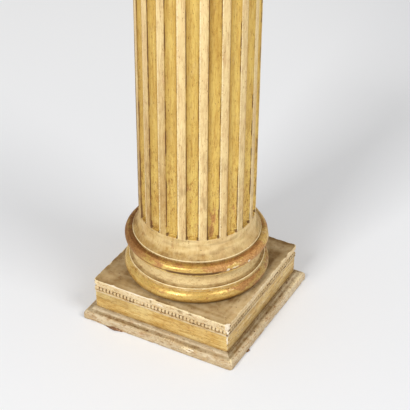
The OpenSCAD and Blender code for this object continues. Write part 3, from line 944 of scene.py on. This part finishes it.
# dark lines along the flutes' edges: broken glaze with painted shade, strongest along each flute's left edge
# and near its foot
side_glaze_and_shade = left_line * (0.38 + 0.95 * broken) + right_line * (0.26 + 0.75 * broken_too)
foot_glaze_and_shade = fine_line(signed + half_flute - 0.7, 0.7) * (1.0 - ramp(flute_foot + 14, flute_foot + 46, z))
above_stop = ramp(flute_foot + 1, flute_foot + 5, z)
glaze_and_shade = (side_glaze_and_shade * broken_fine * low_more + 0.75 * foot_glaze_and_shade * broken) * above_stop
# painted shade in the corners and the stopped ends of the flutes
corner = fine_line(angle - half_flute * 0.88, 1.0) * band(z, flute_foot + 0.2, flute_foot + 5.0, 1.2)
flute_end = in_flute * (1 - ramp(flute_foot + 2.5, flute_foot + 6, z))
edge_shade = (0.1 * ramp(half_flute * 0.6, half_flute, angle) + 0.26 * left_part) * in_flute
low_grime = 1.0 - ramp(ring_top + 2, ring_top + 18, z)
smudge = ramp(0.0, 0.7, noise(shaft_grid, (20, 20, 4.5), 74))
tan_cloud = ramp(-0.4, 0.5, noise(shaft_grid, (16, 16, 7), 76))
soiled = ramp(-0.1, 0.7, noise(shaft_grid, (7, 7, 15), 75)) * on_fillet * (0.3 + 0.7 * lower)
# painted shade on the ring's face, lightened to the left, and a painted highlight on its rim
ring_face = 1.0 - ramp(ring_top - 1.8, ring_top - 0.8, z)
ring_rim = band(z, ring_top - 0.9, ring_top + 0.3, 0.35)
ring_rim *= ramp(ring_out - 1.6, ring_out - 0.5, radii[:, None])
bole_patch = spot(shaft_grid, place_on(14.5, 103, 227), (8, 8, 16))
smear = spot(shaft_grid, place_on(4, 110.4, 193), (7, 7, 2.2))
smear += spot(shaft_grid, place_on(11, 118, 178), (3.5, 3.5, 1.4))
dull_flute = band(bearing, 6, 24, 3) * ramp(430, 600, z) * in_flute
# two bands of flutes kept lighter low down, with less varnish and painted shade
bright_flute = (band(bearing, -32, -16, 3) + band(bearing, 28, 46, 3)) * (1 - ramp(250, 420, z))
left_wash = band(bearing, -110, -28, 9) * (1 - ramp(250, 640, z))
to_left = ramp(0, 45, -bearing) * (1 - ramp(120, 170, -bearing))
to_centre = 1 - ramp(20, 60, np.abs(bearing))
lit_arris = fine_line(signed - half_flute - 0.7, 0.6) + fine_line(signed + half_flute + 0.6, 0.4) * 0.25
lit_arris *= ramp(flute_foot, flute_foot + 3, z)
flecks = ramp(0.3, 0.8, noise(shaft_grid, (3, 3, 16), 73)) * in_flute * (0.16 + 0.3 * lower)
lines = (left_line * (0.4 + 0.4 * broken) + right_line * (0.2 + 0.4 * broken_too)) * above_stop
fillet_right = on_fillet * (signed < 0) * (1 - ramp(1.0, 1.65, -signed / half_flute))
flute_rub = in_flute * blotch * (0.5 + tall) * (0.7 + 0.8 * lower)
# pale: painted highlights on the lit arrises and the ring's rim, the ring's face lightened to the left, and
# paler fillets
shaft_pale_and_highlight = (0.66 + 0.2 * lower) * lit_arris + 0.85 * ring_rim + 0.22 * on_fillet * tall
shaft_pale_and_highlight += 0.3 * ring_face * to_left
neck_tan = 0.1 + 0.34 * tan_cloud + 0.34 * to_left + 0.4 * low_grime * (0.5 + 0.5 * to_centre)
shaft_varnish = on_neck * neck_tan + on_fillet * (0.04 + 0.1 * lower + 0.56 * left_wash)
shaft_varnish += 0.26 * fillet_right + 0.14 * in_flute * tall * (1 - bright_flute) + 0.42 * dull_flute
neck_soil = 0.02 + (0.36 + 0.16 * to_left) * low_grime * (0.4 + blotch)
# grime low on the flare, with painted shade on the ring's face, in the flutes' ends and along their walls and
# dark lines
shaft_grime_and_shade = on_neck * neck_soil + (0.2 - 0.2 * to_left) * ring_face + 0.1 * in_flute * tall
shaft_grime_and_shade += 0.28 * flute_end + edge_shade * (1 - 0.7 * bright_flute) + lines
shaft_grime_and_shade += 0.1 * on_fillet * left_wash + 0.4 * bole_patch * in_flute
shaft_grime_and_shade += 0.34 * smudge * on_neck + 0.34 * soiled
shaft_marks = {
    "gilt": in_flute + 0.26 * on_neck + 0.12 * on_fillet,
    "rub": 0.34 * flute_rub + 1.3 * bole_patch * in_flute + 0.12 * on_neck * blotch,
    "gesso": 0.24 * on_fillet * ramp(0.4, 0.9, blotch),
    "pale": shaft_pale_and_highlight,
    "varnish": shaft_varnish,
    "grime": shaft_grime_and_shade,
    "dark": glaze_and_shade + 1.25 * corner + 1.2 * (hole_a + hole_b) + 0.75 * smear + flecks,
    "streak": 0.6 - 0.56 * on_neck,
    "speckle": 0.26 - 0.06 * on_neck - 0.1 * on_fillet + 0.44 * lower * in_flute,
}
saw_cut = (np.arange(len(radii)) == len(radii) - 1)[:, None]
shaft_marks = {mark: np.where(saw_cut, 0.0, value) for mark, value in shaft_marks.items()}
shaft = make_skin("fluted_shaft_skin", [shaft_grid], [shaft_marks])
shaft.data.materials.append(
    finished(
        "shaft paint and gilding with painted light and shade",
        (1.0, 1.0, 16.0),
        0.3,
        cream=tone(243, 217, 158),
        cream_shade=tone(233, 202, 144),
        gold=tone(240, 206, 114),
        gold_shade=tone(228, 190, 100),
    )
)

# the saw cut: bare end grain, with year rings, fine dark pores and greyer clouds
tree = shaft.data.materials[0].node_tree
shader = tree.nodes["Principled BSDF"]
painted = shader.inputs["Base Color"].links[0].from_socket
sawn = shaft.data.attributes.new("sawn", "FLOAT", "POINT")
sawn_points = np.zeros(len(shaft.data.vertices), np.float32)
sawn_points[shaft_grid[:-1].size // 3:] = 1.0
sawn_points[-2] = 0.0
sawn.data.foreach_set("value", sawn_points)
place = add(tree, "ShaderNodeTexCoord").outputs["Object"]
rings_a_metre = 200.0
off_heart = vector_node(tree, "ADD", place, (0.021, -0.013, 0.0))
bent = texture(tree, place, 60.0, 2.0)
from_heart = vector_node(tree, "LENGTH", vector_node(tree, "MULTIPLY", off_heart, (1.0, 1.0, 0.0)))
year_rings = math_node(tree, "MULTIPLY", from_heart, rings_a_metre)
ring_number = math_node(tree, "ADD", year_rings, math_node(tree, "MULTIPLY", bent, 2.5))
ring_band = math_node(tree, "FRACT", ring_number)
wood = mix(tree, step_up(tree, ring_band, 0.35, 1.0), tone(214, 184, 138), tone(178, 138, 90))
wood = mix(tree, step_up(tree, texture(tree, place, 1.4, 3.0), 0.5, 0.75), wood, tone(160, 122, 80))
wood = mix(tree, math_node(tree, "MULTIPLY", bent, 0.5), wood, tone(150, 122, 88))
on_saw_cut = add(tree, "ShaderNodeAttribute", attribute_name="sawn").outputs["Fac"]
tree.links.new(mix(tree, on_saw_cut, painted, wood), shader.inputs["Base Color"])
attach(shaft, "root")
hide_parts("fluted_shaft")

# ---------------------------------------------------------------------------
# Setting: a pale paper floor, painted lighter towards the back and with a painted shadow
# in its far right corner, a soft lamp at the front left, a second one at the right, and
# the camera above the right front corner, looking down.

floor_size = 14.0
floor_mesh = bpy.data.meshes.new("paper floor")
half = floor_size / 2
floor_corners = [(-half, -half, 0), (half, -half, 0), (half, half, 0), (-half, half, 0)]
floor_mesh.from_pydata(floor_corners, [], [(0, 1, 2, 3)])
floor = bpy.data.objects.new("paper_floor", floor_mesh)
bpy.context.scene.collection.objects.link(floor)
paper = bpy.data.materials.new("pale paper with painted light and shadow")
paper.use_nodes = True
tree = paper.node_tree
shader = tree.nodes["Principled BSDF"]
spread = add(tree, "ShaderNodeTexCoord").outputs["Object"]
# the paper's colour: painted light, lighter towards the back, and a painted shadow in the far right corner
away = vector_node(tree, "DOT_PRODUCT", spread, (-0.48, 0.88, 0.0))
sideways = vector_node(tree, "DOT_PRODUCT", spread, (0.88, 0.48, 0.0))
paper_tone_and_light = mix(tree, step_up(tree, away, -0.2, 1.5), (0.885, 0.895, 0.915, 1), (0.985, 0.985, 0.99, 1))
shadowed_corner = math_node(tree, "MULTIPLY", step_up(tree, away, 0.5, 1.3), step_up(tree, sideways, 0.1, 0.8))
paper_tone_and_light = mix(tree, shadowed_corner, paper_tone_and_light, (0.87, 0.875, 0.89, 1))
tree.links.new(paper_tone_and_light, shader.inputs["Base Color"])
shader.inputs["Roughness"].default_value = 0.9
shader.inputs["Specular IOR Level"].default_value = 0.1
floor_mesh.materials.append(paper)

world = bpy.data.worlds.new("soft room")
bpy.context.scene.world = world
world.use_nodes = True
world.node_tree.nodes["Background"].inputs[0].default_value = (1.0, 1.0, 1.0, 1.0)
world.node_tree.nodes["Background"].inputs[1].default_value = 0.46


def lamp(name, bearing_at, rise, far, wide, power):
    """A soft square lamp at a bearing and rise in degrees, aimed at the base."""
    light = bpy.data.lights.new(name, "AREA")
    light.shape = "SQUARE"
    light.size = wide
    light.energy = power
    aim = Vector((0, 0, 0.25))
    turn, tilt = math.radians(bearing_at), math.radians(rise)
    way = Vector((math.cos(turn) * math.cos(tilt), math.sin(turn) * math.cos(tilt), math.sin(tilt)))
    held = bpy.data.objects.new(name, light)
    held.location = aim + way * far
    held.rotation_euler = way.to_track_quat("Z", "Y").to_euler()
    bpy.context.scene.collection.objects.link(held)


lamp("front lamp", -95.5, 36.0, 6.0, 1.7, 189.0)
lamp("right lamp", -10.0, 44.0, 6.0, 2.4, 114.0)

camera_reach = 1.9733
camera_height = 1.5474
camera_bearing = -61.256
pitch, yaw, roll = math.radians(33.979), math.radians(0.426), math.radians(0.472)
camera_data = bpy.data.cameras.new("camera")
camera_data.sensor_width = 36.0
camera_data.lens = 112.67
camera = bpy.data.objects.new("camera", camera_data)
bpy.context.scene.collection.objects.link(camera)
bpy.context.scene.camera = camera
stand = math.radians(camera_bearing)
seat = Vector((camera_reach * math.cos(stand), camera_reach * math.sin(stand), camera_height))
heading = math.atan2(-seat.x, -seat.y) + yaw
look = Vector((math.sin(heading) * math.cos(pitch), math.cos(heading) * math.cos(pitch), -math.sin(pitch)))
level = Vector((math.cos(heading), -math.sin(heading), 0.0))
above = level.cross(look)
right = level * math.cos(roll) + above * math.sin(roll)
up = above * math.cos(roll) - level * math.sin(roll)
camera.matrix_world = Matrix.Translation(seat) @ Matrix((right, up, -look)).transposed().to_4x4()

bpy.context.scene.view_settings.view_transform = "Standard"
